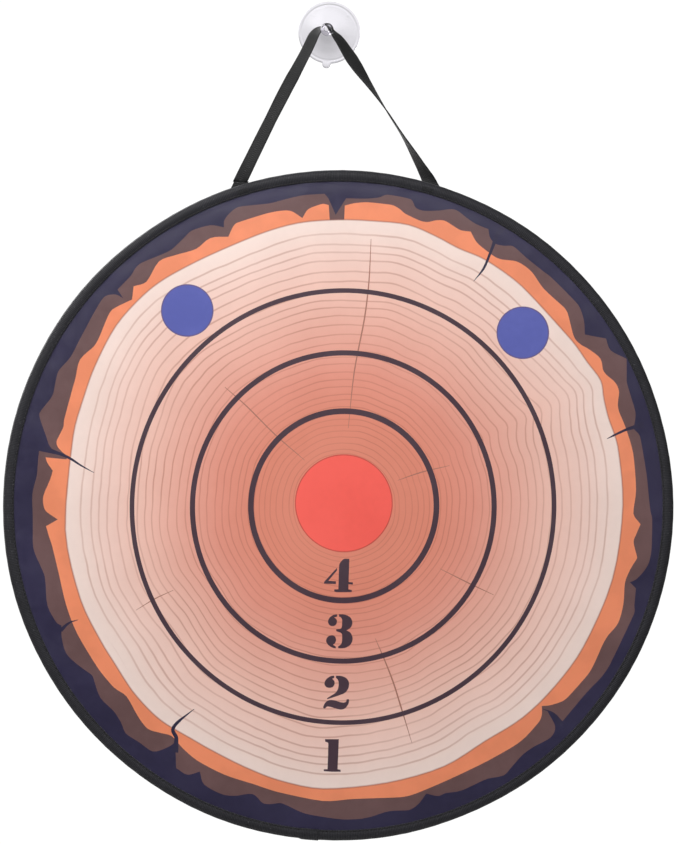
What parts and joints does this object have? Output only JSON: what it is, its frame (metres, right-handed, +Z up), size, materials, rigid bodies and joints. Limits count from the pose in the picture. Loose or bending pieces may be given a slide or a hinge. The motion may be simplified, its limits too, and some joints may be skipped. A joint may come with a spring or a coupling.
{
  "type": "magnetic dartboard",
  "caption": "Round soft magnetic dart target with a printed log-slice face, bound edge and webbing strap, hung from a clear suction cup.",
  "frame": {"origin": "middle of the suction cup, on the wall that it holds to", "axes": "+Z up; +Y into the wall, out of the back of the suction cup; the printed face looks along -Y and +X is to its right"},
  "size_m": [0.5, 0.0252, 0.629],
  "materials": {
    "clear_vinyl": "clear soft vinyl, glossy",
    "black_webbing": "plain woven polyester webbing, matte",
    "black_thread": "twisted polyester thread",
    "black_grosgrain": "ribbed grosgrain tape, matte",
    "cotton_cord": "soft spun cord",
    "printed_polyester": "knitted polyester with a transfer print",
    "foam": "closed-cell foam",
    "adhesive_film": "double-sided adhesive film",
    "tinned_steel": "thin plated steel sheet",
    "backing_board": "stiff pulp board",
    "back_felt": "needled non-woven cloth"
  },
  "bodies": {
    "cup": {"suction_cup": "clear_vinyl"},
    "strap": {"hanging_strap": "black_webbing"},
    "target": {"strap_end_left": "black_webbing", "strap_end_right": "black_webbing", "strap_tack_left": "black_thread", "strap_tack_right": "black_thread", "edge_binding": "black_grosgrain", "rim_stitching_front": "black_thread", "rim_stitching_back": "black_thread", "lap_stitching": "black_thread", "rim_cord": "cotton_cord", "front_cover": "printed_polyester", "front_foam": "foam", "front_adhesive_film": "adhesive_film", "steel_sheet": "tinned_steel", "rear_adhesive_film": "adhesive_film", "backing_board": "backing_board", "back_cover": "back_felt"}
  },
  "joints": [
    {"name": "strap_swing", "type": "hinge", "parent": "cup", "child": "strap", "pos_m": [0, -0.016, 0], "axis": [0, 1, 0], "range_deg": [-30, 30]},
    {"name": "target_tip_out", "type": "hinge", "parent": "strap", "child": "target", "pos_m": [0.0086, -0.01185, -0.1132], "axis": [-1, 0, 0], "range_deg": [0, 60]}
  ]
}
